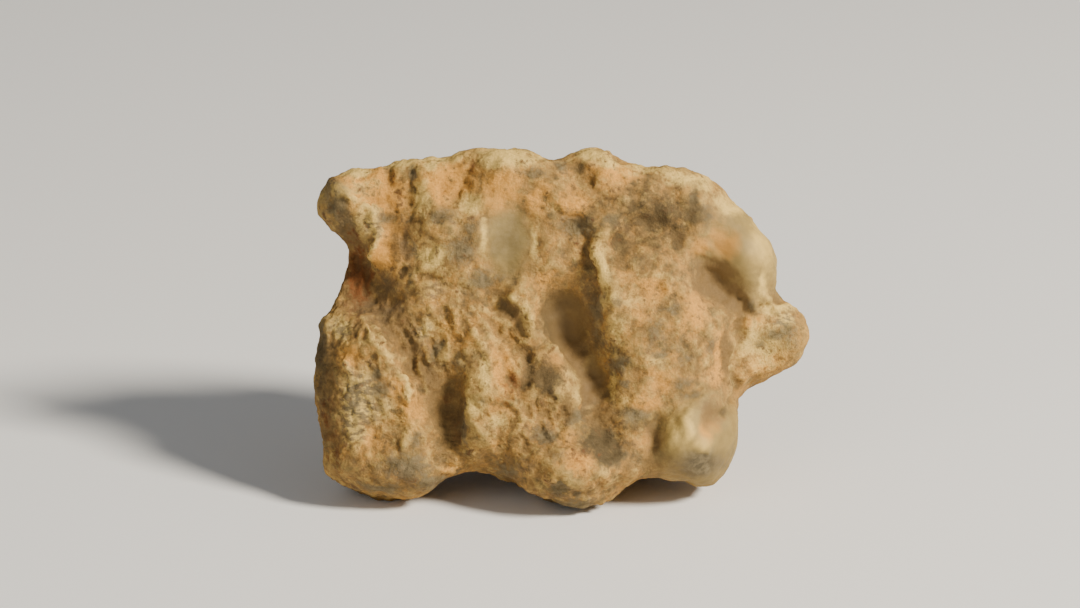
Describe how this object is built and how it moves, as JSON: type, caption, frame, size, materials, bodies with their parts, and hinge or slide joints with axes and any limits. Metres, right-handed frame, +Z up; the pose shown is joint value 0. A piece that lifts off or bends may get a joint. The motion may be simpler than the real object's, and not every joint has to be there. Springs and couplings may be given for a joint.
{
  "type": "lunar meteorite",
  "caption": "Worn, pitted stone standing on its lower edge: a broad hollowed face with a knob, smooth waxy lobes and a blunt spur behind them.",
  "frame": {"origin": "middle of the bounding box, on the ground the stone rests on", "axes": "+X along the broad face to the right as seen from the front, +Y towards the back, +Z up; the face looks along -Y and leans back"},
  "size_m": [0.0346, 0.0192, 0.0246],
  "materials": {
    "weathered_stone": "matte, waxy on the two smooth lobes"
  },
  "bodies": {
    "root": {"stone": "weathered_stone"}
  },
  "joints": []
}
